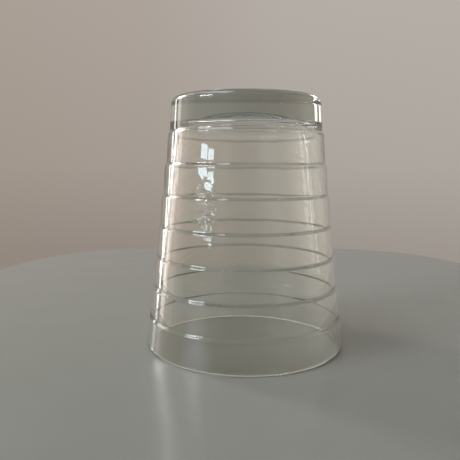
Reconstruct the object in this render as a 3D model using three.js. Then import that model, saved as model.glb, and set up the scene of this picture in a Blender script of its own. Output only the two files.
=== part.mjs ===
// A clear pressed-glass tumbler with stepped sides, turned over to stand on its rim.
// Millimetres. The origin is the centre of the rim plane, and +Z points up through the foot.
// The glass is one continuous piece. It is divided here where its mould steps in, so that each
// region is a solid of its own, and neighbouring regions meet face to face on a level plane.
import * as THREE from "three";

const TOTAL_HEIGHT = 100;

// Outside of the wall. Each band above the rim band begins with a rounded shoulder, whose middle lies
// at a multiple of the band height, and then narrows evenly to the next shoulder.
const RIM_RADIUS = 40.8;
const FIRST_STEP_RADIUS = 39;
const BAND_NARROWING = 1.39;
const BAND_HEIGHT = 12.3;
const WALL_BAND_COUNT = 6;
const SHOULDER_WIDTH = 0.68;
const SHOULDER_HEIGHT = 1.6;

// The fire-polished lip, with the narrow flat that the glass stands on here
const LIP_ROUND = 0.75;

// The thick foot, and the flat-bottomed dish that leaves a ring on its underside to stand on
const FOOT_EDGE_RADIUS = 30.05;
const FOOT_EDGE_ROUND = 2.8;
const DISH_RADIUS = 25.3;
const DISH_EDGE_WIDTH = 1.5;
const DISH_DEPTH = 1.4;

// Inside of the bowl: a plain cone, a rounded corner and a level floor with a low dome in the middle, where
// the bowl is deepest. The dome's flatness is a power: a higher one makes its top flatter.
const MOUTH_RADIUS = 39.1;
const INSIDE_TAPER = 0.125;
const BOWL_DEPTH = 92.8;
const BOWL_FLOOR_EDGE = 90;
const DOME_RADIUS = 13.5;
const DOME_FLATNESS = 3;
const BOWL_CORNER_ROUND = 4;

// Facets
const SIDES = 64;
const SHOULDER_STEPS = 4;
const ROUND_STEPS = 4;
const DOME_STEPS = 8;

const GLASS_COLOUR = 0xdfe6e0;
const GLASS_ROUGHNESS = 0.04;
const GLASS_OPACITY = 0.35;

// Directions in the profile plane, in radians from straight outward
const INWARD = -Math.PI;
const DOWNWARD = -Math.PI / 2;
const OUTWARD = 0;
const UPWARD = Math.PI / 2;

function point(radius, height) {
  return new THREE.Vector2(radius, height);
}

// Points on a circular arc in the profile plane, from one direction to another
function arc(centre, radius, from, to, steps) {
  const points = [];
  for (let step = 0; step <= steps; step += 1) {
    const angle = THREE.MathUtils.lerp(from, to, step / steps);
    points.push(point(centre.x + radius * Math.cos(angle), centre.y + radius * Math.sin(angle)));
  }
  return points;
}

// Outside radius just above a shoulder, and just below it. Shoulders are counted up from the rim.
function radiusAbove(shoulder) {
  return FIRST_STEP_RADIUS - BAND_NARROWING * (shoulder - 1);
}

function radiusBelow(shoulder) {
  return radiusAbove(shoulder) + SHOULDER_WIDTH;
}

function shoulderBottom(shoulder) {
  return shoulder * BAND_HEIGHT - SHOULDER_HEIGHT / 2;
}

function insideRadius(height) {
  return MOUTH_RADIUS - INSIDE_TAPER * height;
}

// A shoulder's S-curve, from the wider band below to the narrower band above
function shoulderCurve(shoulder) {
  const points = [];
  for (let step = 0; step <= SHOULDER_STEPS; step += 1) {
    const share = step / SHOULDER_STEPS;
    const reach = (SHOULDER_WIDTH / 2) * (1 + Math.cos(Math.PI * share));
    points.push(point(radiusAbove(shoulder) + reach, shoulderBottom(shoulder) + SHOULDER_HEIGHT * share));
  }
  return points;
}

// One solid of revolution about +Z. The profile runs up the outside and down the inside.
function turned(name, profile) {
  const geometry = new THREE.LatheGeometry(profile, SIDES);
  geometry.rotateX(Math.PI / 2);
  const material = new THREE.MeshStandardMaterial({
    color: GLASS_COLOUR,
    roughness: GLASS_ROUGHNESS,
    metalness: 0,
    transparent: true,
    opacity: GLASS_OPACITY,
  });
  const mesh = new THREE.Mesh(geometry, material);
  mesh.name = name;
  return mesh;
}

function rimBand() {
  const top = shoulderBottom(1);
  const insideLip = point(insideRadius(LIP_ROUND) + LIP_ROUND, LIP_ROUND);
  const outsideLip = point(RIM_RADIUS - LIP_ROUND, LIP_ROUND);
  const profile = [
    ...arc(insideLip, LIP_ROUND, INWARD, DOWNWARD, ROUND_STEPS),
    ...arc(outsideLip, LIP_ROUND, DOWNWARD, OUTWARD, ROUND_STEPS),
    point(radiusBelow(1), top),
    point(insideRadius(top), top),
  ];
  profile.push(profile[0].clone());
  return turned("rim_band", profile);
}

function wallBand(band) {
  const bottom = shoulderBottom(band);
  const top = shoulderBottom(band + 1);
  const profile = [
    point(insideRadius(bottom), bottom),
    ...shoulderCurve(band),
    point(radiusBelow(band + 1), top),
    point(insideRadius(top), top),
  ];
  profile.push(profile[0].clone());
  return turned(`wall_band_${band}`, profile);
}

// The bowl's floor and corner, from the axis down to the cone. The corner's arc touches the cone.
function bowlFloor() {
  const coneTilt = Math.atan(INSIDE_TAPER);
  const cornerHeight = BOWL_FLOOR_EDGE - BOWL_CORNER_ROUND;
  const corner = point(insideRadius(cornerHeight) - BOWL_CORNER_ROUND / Math.cos(coneTilt), cornerHeight);
  const points = [];
  for (let step = 0; step <= DOME_STEPS; step += 1) {
    const share = step / DOME_STEPS;
    const rise = (BOWL_DEPTH - BOWL_FLOOR_EDGE) * (1 - share ** DOME_FLATNESS);
    points.push(point(DOME_RADIUS * share, BOWL_FLOOR_EDGE + rise));
  }
  return [...points, ...arc(corner, BOWL_CORNER_ROUND, UPWARD, coneTilt, ROUND_STEPS)];
}

// The dish in the underside, from the top of its curved edge in to the axis
function dish() {
  const points = [];
  for (let step = 0; step <= SHOULDER_STEPS; step += 1) {
    const share = step / SHOULDER_STEPS;
    const drop = (DISH_DEPTH / 2) * (1 - Math.cos(Math.PI * share));
    points.push(point(DISH_RADIUS + DISH_EDGE_WIDTH * (1 - share), TOTAL_HEIGHT - drop));
  }
  return [...points, point(0, TOTAL_HEIGHT - DISH_DEPTH)];
}

function foot() {
  const shoulder = WALL_BAND_COUNT + 1;
  const bottom = shoulderBottom(shoulder);
  const edge = point(FOOT_EDGE_RADIUS - FOOT_EDGE_ROUND, TOTAL_HEIGHT - FOOT_EDGE_ROUND);
  const profile = [
    ...bowlFloor(),
    point(insideRadius(bottom), bottom),
    ...shoulderCurve(shoulder),
    ...arc(edge, FOOT_EDGE_ROUND, OUTWARD, UPWARD, ROUND_STEPS),
    ...dish(),
  ];
  return turned("foot", profile);
}

const tumbler = new THREE.Group();
tumbler.name = "stepped_tumbler";
tumbler.add(rimBand());
for (let band = 1; band <= WALL_BAND_COUNT; band += 1) {
  tumbler.add(wallBand(band));
}
tumbler.add(foot());

export default tumbler;
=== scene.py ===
"""A clear pressed-glass tumbler with stepped sides, turned over on its rim, on a plain slab."""
import math

import bmesh
import bpy
from mathutils import Matrix, Vector, noise


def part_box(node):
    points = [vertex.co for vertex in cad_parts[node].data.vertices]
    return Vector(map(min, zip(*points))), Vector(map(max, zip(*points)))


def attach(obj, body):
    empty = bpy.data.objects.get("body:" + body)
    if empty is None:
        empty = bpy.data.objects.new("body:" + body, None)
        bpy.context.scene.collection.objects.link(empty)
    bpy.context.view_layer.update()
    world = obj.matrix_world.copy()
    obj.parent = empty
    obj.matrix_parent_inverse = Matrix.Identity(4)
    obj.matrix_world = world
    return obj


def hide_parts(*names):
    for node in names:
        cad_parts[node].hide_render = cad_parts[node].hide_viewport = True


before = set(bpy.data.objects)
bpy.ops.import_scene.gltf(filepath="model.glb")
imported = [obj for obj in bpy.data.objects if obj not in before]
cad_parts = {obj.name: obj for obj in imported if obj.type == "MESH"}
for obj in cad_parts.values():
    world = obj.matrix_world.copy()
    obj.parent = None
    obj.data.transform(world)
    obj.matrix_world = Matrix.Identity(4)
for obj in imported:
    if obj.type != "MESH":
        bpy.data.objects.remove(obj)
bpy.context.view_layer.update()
scene = bpy.context.scene

MM = 0.001

# The wall's heights and radii come from the solids. A shoulder starts at the bottom of each of these nodes.
WALL_NODES = [f"wall_band_{band}" for band in range(1, 7)]
SHOULDER_NODES = [*WALL_NODES, "foot"]
GLASS_NODES = ["rim_band", *SHOULDER_NODES]
TOTAL_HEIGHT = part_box("foot")[1].z
RIM_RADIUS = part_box("rim_band")[1].x

# Shapes inside the nodes, as in the solids
SHOULDER_WIDTH = 0.68 * MM
SHOULDER_HEIGHT = 1.6 * MM
LIP_ROUND = 0.75 * MM
FOOT_EDGE_RADIUS = 30.05 * MM
FOOT_EDGE_ROUND = 2.8 * MM
DISH_RADIUS = 25.3 * MM
DISH_EDGE_WIDTH = 1.5 * MM
DISH_DEPTH = 1.4 * MM
MOUTH_RADIUS = 39.1 * MM
INSIDE_TAPER = 0.125
BOWL_DEPTH = 92.8 * MM
BOWL_FLOOR_EDGE = 90 * MM
DOME_RADIUS = 13.5 * MM
DOME_FLATNESS = 3
BOWL_CORNER_ROUND = 4 * MM

# Fineness of the mesh
SIDES = 480
OUTSIDE_ROW_SPACING = 0.6 * MM
INSIDE_ROW_SPACING = 0.45 * MM
FLOOR_ROW_SPACING = 0.2 * MM
SHOULDER_STEPS = 14
ROUND_STEPS = 14

# Unevenness that pressing leaves: how far it stands from the true surface, and how long its waves are.
# The floor's wrinkles fade out between two radii.
OUTSIDE_WAVE = (0.012 * MM, 14 * MM)
INSIDE_WAVE = (0.022 * MM, 5 * MM)
FLOOR_WRINKLE = (0.05 * MM, 1.0 * MM)
FLOOR_WRINKLE_REACH = (11 * MM, 13.5 * MM)

# Each wave is a broad noise and a finer one: the finer one's share of its length and height, and its place
FINE_LENGTH_SHARE = 0.45
FINE_HEIGHT_SHARE = 0.5
FINE_OFFSET = Vector((7.0, 3.0, 5.0))

# The inside is wavy near the bowl's floor and calmer towards the mouth: heights of both, and the calm share
CALM_HEIGHT = 42 * MM
WAVY_HEIGHT = 72 * MM
CALM_SHARE = 0.2

# A streak of ripples down one side, fine on the inside and gentle on the outside: its direction and half
# width round the axis, its waves, its heights, how far it takes to fade at its lower and upper end, and
# the slope by which the wall leans in there
RIPPLE_TURN = math.radians(243)
RIPPLE_HALF_TURN = math.radians(12)
INSIDE_RIPPLE = {
    "wave": (0.1 * MM, 1.2 * MM),
    "heights": (45 * MM, 72 * MM),
    "fades": (6 * MM, 6 * MM),
    "lean": 0.0,
}
OUTSIDE_RIPPLE = {
    "wave": (0.018 * MM, 3 * MM),
    "heights": (60.7 * MM, 74.6 * MM),
    "fades": (1.6 * MM, 1.6 * MM),
    "lean": 0.026,
}

# Directions in the profile plane, in radians from straight outward
INWARD = math.pi
DOWNWARD = 1.5 * math.pi
OUTWARD = 0.0
UPWARD = 0.5 * math.pi


def arc(centre, radius, start, end, steps):
    """Points on a circular arc in the profile plane, from one direction to another."""
    points = []
    for step in range(steps + 1):
        angle = start + (end - start) * step / steps
        points.append((centre[0] + radius * math.cos(angle), centre[1] + radius * math.sin(angle)))
    return points


def line(start, end, spacing):
    """Evenly spaced points from start to end, without start itself."""
    steps = max(1, round(math.dist(start, end) / spacing))
    points = []
    for step in range(1, steps + 1):
        share = step / steps
        points.append((start[0] + (end[0] - start[0]) * share, start[1] + (end[1] - start[1]) * share))
    return points


def inside_radius(height):
    return MOUTH_RADIUS - INSIDE_TAPER * height


def bowl_floor():
    """The bowl's floor with its low dome, and its rounded corner, from the axis out and down to the cone."""
    cone_tilt = math.atan(INSIDE_TAPER)
    corner_height = BOWL_FLOOR_EDGE - BOWL_CORNER_ROUND
    corner_radius = inside_radius(corner_height) - BOWL_CORNER_ROUND / math.cos(cone_tilt)
    floor = []
    steps = round(DOME_RADIUS / FLOOR_ROW_SPACING)
    for step in range(steps + 1):
        share = step / steps
        rise = (BOWL_DEPTH - BOWL_FLOOR_EDGE) * (1 - share ** DOME_FLATNESS)
        floor.append((DOME_RADIUS * share, BOWL_FLOOR_EDGE + rise))
    floor += line(floor[-1], (corner_radius, BOWL_FLOOR_EDGE), FLOOR_ROW_SPACING)
    corner = arc((corner_radius, corner_height), BOWL_CORNER_ROUND, UPWARD, cone_tilt, ROUND_STEPS)
    return floor, corner[1:]


def shoulder(node):
    """A shoulder's S-curve, from the wider band below to the narrower band above."""
    low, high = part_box(node)
    points = []
    for step in range(SHOULDER_STEPS + 1):
        share = step / SHOULDER_STEPS
        inward = (SHOULDER_WIDTH / 2) * (1 - math.cos(math.pi * share))
        points.append((high.x - inward, low.z + SHOULDER_HEIGHT * share))
    return points


def dish():
    """The dish in the underside, from the top of its curved edge in to the axis."""
    points = []
    for step in range(SHOULDER_STEPS + 1):
        share = step / SHOULDER_STEPS
        drop = (DISH_DEPTH / 2) * (1 - math.cos(math.pi * share))
        points.append((DISH_RADIUS + DISH_EDGE_WIDTH * (1 - share), TOTAL_HEIGHT - drop))
    middle = (0.0, TOTAL_HEIGHT - DISH_DEPTH)
    return [*points, *line(points[-1], middle, OUTSIDE_ROW_SPACING)]


def profile():
    """The whole outline, from the bowl's floor down the inside, round the lip and up to the foot.

    Each entry is a point and the wave that its surface carries. The range is that of the inside wall.
    """
    floor, corner = bowl_floor()
    inside_lip = (inside_radius(LIP_ROUND) + LIP_ROUND, LIP_ROUND)
    outside_lip = (RIM_RADIUS - LIP_ROUND, LIP_ROUND)
    inner_lip_arc = arc(inside_lip, LIP_ROUND, INWARD, DOWNWARD, ROUND_STEPS)
    inside = [*corner, *line(corner[-1], inner_lip_arc[0], INSIDE_ROW_SPACING)]
    outside = [*inner_lip_arc[1:], *arc(outside_lip, LIP_ROUND, DOWNWARD, 2 * math.pi, ROUND_STEPS)]
    for node in SHOULDER_NODES:
        curve = shoulder(node)
        outside += line(outside[-1], curve[0], OUTSIDE_ROW_SPACING)
        outside += curve[1:]
    edge_centre = (FOOT_EDGE_RADIUS - FOOT_EDGE_ROUND, TOTAL_HEIGHT - FOOT_EDGE_ROUND)
    edge = arc(edge_centre, FOOT_EDGE_ROUND, OUTWARD, UPWARD, ROUND_STEPS)
    outside += line(outside[-1], edge[0], OUTSIDE_ROW_SPACING)
    outside += edge[1:]
    underside = dish()
    outside += line(outside[-1], underside[0], OUTSIDE_ROW_SPACING)
    outside += underside[1:]
    entries = [(spot, floor_wrinkle(spot[0])) for spot in floor]
    entries += [(spot, inside_wave(spot[1])) for spot in inside]
    entries += [(spot, OUTSIDE_WAVE) for spot in outside]
    return entries, range(len(floor), len(floor) + len(inside))


def eased(value, start, full):
    """Share from 0 at start to 1 at full, with a soft beginning and end."""
    share = min(max((value - start) / (full - start), 0.0), 1.0)
    return share ** 2 * (3 - 2 * share)


def inside_wave(height):
    """The inside's wave at a height, strongest near the bowl's floor."""
    strength = CALM_SHARE + (1 - CALM_SHARE) * eased(height, CALM_HEIGHT, WAVY_HEIGHT)
    return INSIDE_WAVE[0] * strength, INSIDE_WAVE[1]


def floor_wrinkle(radius):
    """The wrinkles at a radius on the bowl's floor."""
    return FLOOR_WRINKLE[0] * (1 - eased(radius, *FLOOR_WRINKLE_REACH)), FLOOR_WRINKLE[1]


def ripple_height(place, ripple):
    """Height of a ripple at a place on the wall, fading out at the streak's edges."""
    turn = math.atan2(place.y, place.x) % (2 * math.pi)
    across = max(0.0, 1 - ((turn - RIPPLE_TURN) / RIPPLE_HALF_TURN) ** 2)
    low, high = ripple["heights"]
    low_fade, high_fade = ripple["fades"]
    along = min((place.z - low) / low_fade, (high - place.z) / high_fade, 1.0)
    lean = ripple["lean"] * ((low + high) / 2 - place.z)
    return across * max(along, 0.0) * (lean + wave_height(place, ripple["wave"]))


def wave_height(place, wave):
    """Height of the unevenness at a place, from two sizes of seamless noise."""
    depth, length = wave
    broad = noise.noise(place / length)
    fine = noise.noise(place / (length * FINE_LENGTH_SHARE) + FINE_OFFSET)
    return depth * (broad + FINE_HEIGHT_SHARE * fine)


def outward_normal(entries, index):
    """Direction out of the glass in the profile plane, from the neighbouring points."""
    before = entries[max(index - 1, 0)][0]
    after = entries[min(index + 1, len(entries) - 1)][0]
    along = Vector((after[0] - before[0], after[1] - before[1])).normalized()
    return along.y, -along.x


def turned_glass(name):
    """The continuous glass, turned about +Z, with the unevenness as real shape."""
    entries, inside = profile()
    mesh = bmesh.new()
    rows = []
    for index, ((radius, height), wave) in enumerate(entries):
        if radius == 0.0:
            rows.append([mesh.verts.new((0.0, 0.0, height))])
            continue
        out_radial, out_axial = outward_normal(entries, index)
        row = []
        for side in range(SIDES):
            angle = 2 * math.pi * side / SIDES
            outward = Vector((math.cos(angle), math.sin(angle), 0.0))
            place = outward * radius
            place.z = height
            ripple = INSIDE_RIPPLE if index in inside else OUTSIDE_RIPPLE
            lift = wave_height(place, wave) + ripple_height(place, ripple)
            place += outward * (out_radial * lift)
            place.z += out_axial * lift
            row.append(mesh.verts.new(place))
        rows.append(row)
    for row, following in zip(rows, rows[1:]):
        for side in range(SIDES):
            other = (side + 1) % SIDES
            if len(row) == 1:
                mesh.faces.new((row[0], following[side], following[other]))
            elif len(following) == 1:
                mesh.faces.new((row[other], row[side], following[0]))
            else:
                mesh.faces.new((row[other], row[side], following[side], following[other]))
    bmesh.ops.recalc_face_normals(mesh, faces=mesh.faces)
    for face in mesh.faces:
        face.smooth = True
    data = bpy.data.meshes.new(name)
    mesh.to_mesh(data)
    mesh.free()
    made = bpy.data.objects.new(name, data)
    scene.collection.objects.link(made)
    return made


def node_of(tree, kind, **settings):
    made = tree.nodes.new(kind)
    for key, value in settings.items():
        setattr(made, key, value)
    return made


def noise_of(tree, source, scale, detail):
    made = tree.nodes.new("ShaderNodeTexNoise")
    made.inputs["Scale"].default_value = scale
    made.inputs["Detail"].default_value = detail
    tree.links.new(source, made.inputs["Vector"])
    return made.outputs["Fac"]


def mapped(tree, source, from_low, from_high, to_low, to_high):
    made = tree.nodes.new("ShaderNodeMapRange")
    made.inputs["From Min"].default_value = from_low
    made.inputs["From Max"].default_value = from_high
    made.inputs["To Min"].default_value = to_low
    made.inputs["To Max"].default_value = to_high
    tree.links.new(source, made.inputs["Value"])
    return made.outputs["Result"]


# The glass: clear with a faint green-grey tint that shows only through its thick foot
GLASS_IOR = 1.52
GLASS_COLOUR = (0.94, 0.945, 0.915, 1.0)
GLASS_TINT = (0.04, 0.16, 0.10, 1.0)
GLASS_TINT_DENSITY = 11.0

# Handling leaves faint dull patches: their scale and detail, the noise that they span and their roughness
HANDLING_SCALE = 160.0
HANDLING_DETAIL = 4.0
HANDLING_SPAN = (0.35, 0.75)
HANDLING_ROUGHNESS = (0.0, 0.03)


def glass_material():
    material = bpy.data.materials.new("clear_pressed_glass")
    material.use_nodes = True
    tree = material.node_tree
    shader = tree.nodes["Principled BSDF"]
    shader.inputs["Base Color"].default_value = GLASS_COLOUR
    shader.inputs["IOR"].default_value = GLASS_IOR
    shader.inputs["Transmission Weight"].default_value = 1.0
    place = tree.nodes.new("ShaderNodeTexCoord").outputs["Object"]
    handling = noise_of(tree, place, HANDLING_SCALE, HANDLING_DETAIL)
    roughness = mapped(tree, handling, *HANDLING_SPAN, *HANDLING_ROUGHNESS)
    tree.links.new(roughness, shader.inputs["Roughness"])
    tint = tree.nodes.new("ShaderNodeVolumeAbsorption")
    tint.inputs["Color"].default_value = GLASS_TINT
    tint.inputs["Density"].default_value = GLASS_TINT_DENSITY
    tree.links.new(tint.outputs["Volume"], tree.nodes["Material Output"].inputs["Volume"])
    return material


tumbler = turned_glass("tumbler_glass")
tumbler.data.materials.append(glass_material())
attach(tumbler, "root")
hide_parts(*GLASS_NODES)

# The slab under the glass, a rounded square
SLAB_MIDDLE = (6 * MM, -30 * MM)
SLAB_HALF_SIZE = (180 * MM, 266 * MM)
SLAB_SQUARENESS = 4.0
SLAB_THICKNESS = 14 * MM
SLAB_EDGE_ROUND = 2 * MM
SLAB_EDGE_STEPS = 5
SLAB_SIDES = 360
SLAB_COLOUR = (0.205, 0.209, 0.188, 1.0)
SLAB_COLOUR_DARK = (0.188, 0.192, 0.171, 1.0)
SLAB_SPECULAR = 0.25

# Clouds in the slab's colour and gloss: their scale and detail, the noise that they span and their roughness
CLOUD_SCALE = 40.0
CLOUD_DETAIL = 6.0
CLOUD_SPAN = (0.3, 0.7)
CLOUD_ROUGHNESS = (0.21, 0.26)


def slab():
    """A rounded square with a softened top edge."""
    mesh = bmesh.new()
    levels = arc((-SLAB_EDGE_ROUND, -SLAB_EDGE_ROUND), SLAB_EDGE_ROUND, UPWARD, OUTWARD, SLAB_EDGE_STEPS)
    levels.append((0.0, -SLAB_THICKNESS))
    rows = []
    for reach, height in levels:
        row = []
        for side in range(SLAB_SIDES):
            angle = 2 * math.pi * side / SLAB_SIDES
            across, along = math.cos(angle), math.sin(angle)
            total = abs(across) ** SLAB_SQUARENESS + abs(along) ** SLAB_SQUARENESS
            size = total ** (-1 / SLAB_SQUARENESS)
            x = SLAB_MIDDLE[0] + (SLAB_HALF_SIZE[0] + reach) * size * across
            y = SLAB_MIDDLE[1] + (SLAB_HALF_SIZE[1] + reach) * size * along
            row.append(mesh.verts.new((x, y, height)))
        rows.append(row)
    mesh.faces.new(rows[0])
    mesh.faces.new(list(reversed(rows[-1])))
    for row, following in zip(rows, rows[1:]):
        for side in range(SLAB_SIDES):
            other = (side + 1) % SLAB_SIDES
            mesh.faces.new((row[other], row[side], following[side], following[other]))
    bmesh.ops.recalc_face_normals(mesh, faces=mesh.faces)
    data = bpy.data.meshes.new("slab")
    mesh.to_mesh(data)
    mesh.free()
    made = bpy.data.objects.new("slab", data)
    scene.collection.objects.link(made)
    return made


def slab_material():
    material = bpy.data.materials.new("pale_slab")
    material.use_nodes = True
    tree = material.node_tree
    shader = tree.nodes["Principled BSDF"]
    place = tree.nodes.new("ShaderNodeTexCoord").outputs["Object"]
    cloud = noise_of(tree, place, CLOUD_SCALE, CLOUD_DETAIL)
    colour = node_of(tree, "ShaderNodeMix", data_type="RGBA")
    colour.inputs["A"].default_value = SLAB_COLOUR_DARK
    colour.inputs["B"].default_value = SLAB_COLOUR
    tree.links.new(cloud, colour.inputs["Factor"])
    tree.links.new(colour.outputs["Result"], shader.inputs["Base Color"])
    roughness = mapped(tree, cloud, *CLOUD_SPAN, *CLOUD_ROUGHNESS)
    tree.links.new(roughness, shader.inputs["Roughness"])
    shader.inputs["Specular IOR Level"].default_value = SLAB_SPECULAR
    return material


ground = slab()
ground.data.materials.append(slab_material())

# Light from all round: a wall tone at eye level and overhead, darker below the slab
WORLD_STOPS = [
    (-1.0, (0.12, 0.12, 0.11)),
    (-0.45, (0.26, 0.26, 0.245)),
    (-0.25, (0.32, 0.305, 0.285)),
    (-0.165, (0.33, 0.295, 0.265)),
    (0.0, (0.41, 0.375, 0.34)),
    (0.30, (0.46, 0.42, 0.385)),
    (0.6, (0.42, 0.40, 0.38)),
    (1.0, (0.38, 0.37, 0.36)),
]

# The same light from left to right, as factors: brownish left of the glass, brighter far out on the right
WORLD_SIDE_STOPS = [
    (-1.0, (1.05, 1.03, 1.0)),
    (-0.55, (1.0, 0.98, 0.95)),
    (-0.42, (0.89, 0.83, 0.79)),
    (-0.15, (0.91, 0.875, 0.85)),
    (0.1, (1.0, 1.0, 1.0)),
    (0.43, (1.03, 1.03, 1.03)),
    (0.72, (1.05, 1.05, 1.05)),
    (0.9, (2.0, 2.0, 2.0)),
    (1.0, (2.6, 2.6, 2.6)),
]

# Behind the camera it is darker: how dark, and the directions between which the shade sets in
FRONT_SHADE = 0.25
FRONT_SHADE_START = -0.85
FRONT_SHADE_FULL = -0.98


def ramp_of(tree, source, levels):
    """Colours at levels from -1 to 1 of a source, blended in between."""
    ramp = tree.nodes.new("ShaderNodeValToRGB")
    tree.links.new(mapped(tree, source, -1.0, 1.0, 0.0, 1.0), ramp.inputs["Fac"])
    stops = ramp.color_ramp.elements
    while len(stops) < len(levels):
        stops.new(0.5)
    for stop, (level, colour) in zip(stops, levels):
        stop.position = (level + 1) / 2
        stop.color = (*colour, 1.0)
    return ramp.outputs["Color"]


def multiplied(tree, first, second):
    mix = node_of(tree, "ShaderNodeMix", data_type="RGBA", blend_type="MULTIPLY")
    mix.inputs["Factor"].default_value = 1.0
    tree.links.new(first, mix.inputs["A"])
    tree.links.new(second, mix.inputs["B"])
    return mix.outputs["Result"]


def light_the_world():
    world = bpy.data.worlds.new("soft_room")
    scene.world = world
    world.use_nodes = True
    tree = world.node_tree
    background = tree.nodes["Background"]
    parts = tree.nodes.new("ShaderNodeSeparateXYZ")
    tree.links.new(tree.nodes.new("ShaderNodeTexCoord").outputs["Generated"], parts.inputs[0])
    up_and_down = ramp_of(tree, parts.outputs["Z"], WORLD_STOPS)
    side_to_side = ramp_of(tree, parts.outputs["X"], WORLD_SIDE_STOPS)
    front = mapped(tree, parts.outputs["Y"], FRONT_SHADE_FULL, FRONT_SHADE_START, FRONT_SHADE, 1.0)
    tree.links.new(multiplied(tree, up_and_down, side_to_side), background.inputs["Color"])
    tree.links.new(front, background.inputs["Strength"])


light_the_world()

# Lamps, upright and facing the axis. Azimuth runs from the camera's side towards the left.
LAMP_DISTANCE = 1.2
NEAR_LAMP_DISTANCE = 0.5
LAMP_EYE_HEIGHT = 78 * MM
DAYLIGHT = (0.85, 0.93, 1.0)
SKY_BLUE = (0.70, 0.89, 1.0)
WHITE = (1.0, 1.0, 1.0)
WARM = (1.0, 0.89, 0.82)
PINK = (1.0, 0.80, 0.70)


def lamp(name, azimuths, elevations, radiance, colour, distance=LAMP_DISTANCE):
    """A lamp that fills these angles in degrees, as seen from the middle of the glass."""
    light = bpy.data.lights.new(name, "AREA")
    light.shape = "RECTANGLE"
    half_turn = math.radians(azimuths[1] - azimuths[0]) / 2
    low, high = (distance * math.tan(math.radians(angle)) for angle in elevations)
    light.size = 2 * distance * math.tan(half_turn)
    light.size_y = high - low
    light.energy = radiance * math.pi * light.size * light.size_y
    light.color = colour
    made = bpy.data.objects.new(name, light)
    turn = math.radians(sum(azimuths) / 2)
    height = LAMP_EYE_HEIGHT + (low + high) / 2
    made.location = (-math.sin(turn) * distance, -math.cos(turn) * distance, height)
    made.rotation_euler = (math.pi / 2, 0.0, -turn)
    made.visible_camera = False
    scene.collection.objects.link(made)


lamp("window_near_pane", (45.7, 54.2), (6.0, 8.2), 13.0, SKY_BLUE)
lamp("window_far_pane", (55.2, 65.7), (6.7, 8.6), 13.0, SKY_BLUE)
lamp("window_middle", (55.0, 74.0), (13.7, 14.1), 10.0, DAYLIGHT)
lamp("window_upper", (53.0, 75.0), (21.0, 29.5), 34.0, DAYLIGHT)
lamp("sky_glow", (35.0, 100.0), (52.0, 74.0), 5.0, DAYLIGHT, NEAR_LAMP_DISTANCE)
lamp("left_curtain_end", (82.0, 89.0), (-15.0, 30.0), 0.25, PINK)
lamp("left_curtain_edge", (89.0, 97.0), (-15.0, 30.0), 0.5, PINK)
lamp("left_curtain", (97.0, 113.0), (-15.0, 30.0), 1.0, PINK)
lamp("left_gap", (113.0, 122.0), (-15.0, 50.0), 3.0, WARM)
lamp("back_left_strip", (128.5, 133.5), (-15.0, 65.0), 4.5, WHITE)
lamp("back_left_light", (120.0, 130.0), (21.0, 34.0), 34.0, WHITE, NEAR_LAMP_DISTANCE)

# Camera, fitted to the photograph's 460 by 460 frame
FRAME_PIXELS = 460
FOCAL_PIXELS = 507.0
SENSOR_WIDTH = 36.0
CAMERA_PLACE = (-6.20 * MM, -209.2 * MM, 73.9 * MM)
CAMERA_PITCH = math.radians(7.46)
CAMERA_ROLL = math.radians(0.3)
NEAREST_VIEW = 10 * MM

camera = bpy.data.cameras.new("camera")
camera.sensor_width = SENSOR_WIDTH
camera.lens = SENSOR_WIDTH * FOCAL_PIXELS / FRAME_PIXELS
camera.clip_start = NEAREST_VIEW
viewer = bpy.data.objects.new("camera", camera)
viewer.location = CAMERA_PLACE
tilt = Matrix.Rotation(math.pi / 2 - CAMERA_PITCH, 3, "X")
viewer.rotation_euler = (tilt @ Matrix.Rotation(CAMERA_ROLL, 3, "Z")).to_euler()
scene.collection.objects.link(viewer)
scene.camera = viewer

# Light crosses many faces in the thick foot before it leaves
GLASS_BOUNCES = 24
MIRROR_BOUNCES = 12
scene.cycles.max_bounces = GLASS_BOUNCES
scene.cycles.transmission_bounces = GLASS_BOUNCES
scene.cycles.glossy_bounces = MIRROR_BOUNCES
scene.cycles.blur_glossy = 0.0
scene.view_settings.view_transform = "Standard"
